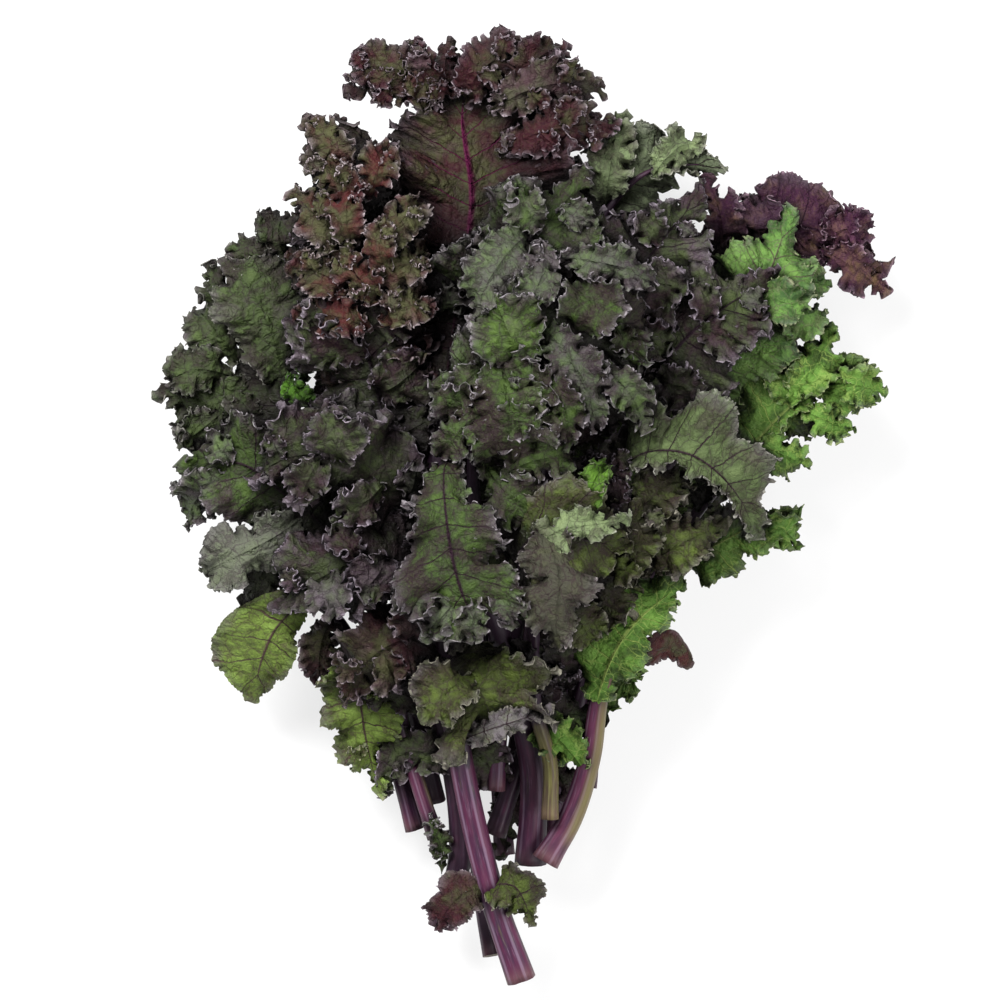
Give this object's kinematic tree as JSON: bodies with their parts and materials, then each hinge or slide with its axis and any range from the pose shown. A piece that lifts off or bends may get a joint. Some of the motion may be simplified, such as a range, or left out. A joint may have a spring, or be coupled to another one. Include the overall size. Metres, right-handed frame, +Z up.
{
  "type": "kale bunch",
  "caption": "Bunch of purple curly kale lying on its side: frilly lobed leaves on long fleshy stalks, gathered at the cut ends.",
  "frame": {"origin": "centre of the bounding box on the surface that the bunch lies on", "axes": "+Z up from the surface, +Y from the cut ends towards the leaf tips, +X to the right seen from above"},
  "size_m": [0.3128, 0.4114, 0.1265],
  "materials": {
    "stalk_purple": "smooth waxy skin with fine ridges, semi-gloss, greenish at the cut ends",
    "stalk_green": "smooth waxy skin, semi-gloss",
    "blade_dark": "waxy leaf, satin, mottled purple over dark olive green with lilac rims",
    "blade_red": "waxy leaf, satin, dark reddish purple over olive green with lilac rims",
    "blade_green": "waxy leaf, satin, green with dark purple veins and rims",
    "blade_bright": "waxy leaf, satin, bright green with pale veins",
    "blade_pale": "underside of a leaf, matt, pale grey green with dark raised veins",
    "blade_purple": "waxy leaf, satin, blistered purple with olive patches"
  },
  "bodies": {
    "root": {"stalk_crown": "stalk_purple", "stalk_frill_left": "stalk_purple", "stalk_droop": "stalk_purple", "stalk_sweep": "stalk_green", "stalk_low_right": "stalk_purple", "stalk_veined": "stalk_purple", "stalk_dark_right": "stalk_purple", "stalk_fan": "stalk_purple", "stalk_hanging": "stalk_purple", "stalk_smooth_left": "stalk_purple", "stalk_low_left": "stalk_purple", "stalk_back_left": "stalk_purple", "stalk_back_middle": "stalk_purple", "stalk_back_right": "stalk_purple", "stalk_dark_low": "stalk_purple", "stalk_bright_up": "stalk_purple", "stalk_far_green": "stalk_purple", "stalk_far_purple": "stalk_purple", "stalk_pale_top": "stalk_purple", "stalk_saddle": "stalk_purple", "blade_crown": "blade_dark", "blade_frill_left": "blade_dark", "blade_droop": "blade_green", "blade_sweep": "blade_green", "blade_low_right": "blade_bright", "blade_veined": "blade_green", "blade_dark_right": "blade_dark", "blade_fan": "blade_bright", "blade_hanging": "blade_bright", "blade_smooth_left": "blade_green", "blade_low_left": "blade_green", "blade_back_left": "blade_dark", "blade_back_middle": "blade_dark", "blade_back_right": "blade_green", "blade_dark_low": "blade_dark", "blade_bright_up": "blade_bright", "blade_far_green": "blade_bright", "blade_far_purple": "blade_purple", "blade_pale_top": "blade_pale", "blade_saddle": "blade_green", "blade_red_top": "blade_red", "blade_shoulder": "blade_green", "blade_olive_left": "blade_green", "blade_far_left": "blade_dark", "blade_pale_left": "blade_pale", "blade_reach_left": "blade_dark", "blade_mid_left": "blade_dark", "blade_curl_left": "blade_red", "blade_apron": "blade_green", "blade_fold_right": "blade_green", "blade_wedge": "blade_pale", "blade_ribbon": "blade_bright", "blade_olive_right": "blade_green", "blade_bright_low": "blade_bright", "blade_brown_tip": "blade_red", "blade_yellow_curl": "blade_bright", "blade_leaflet_left": "blade_red", "blade_leaflet_right": "blade_green", "blade_leaflet_low": "blade_green"}
  },
  "joints": []
}
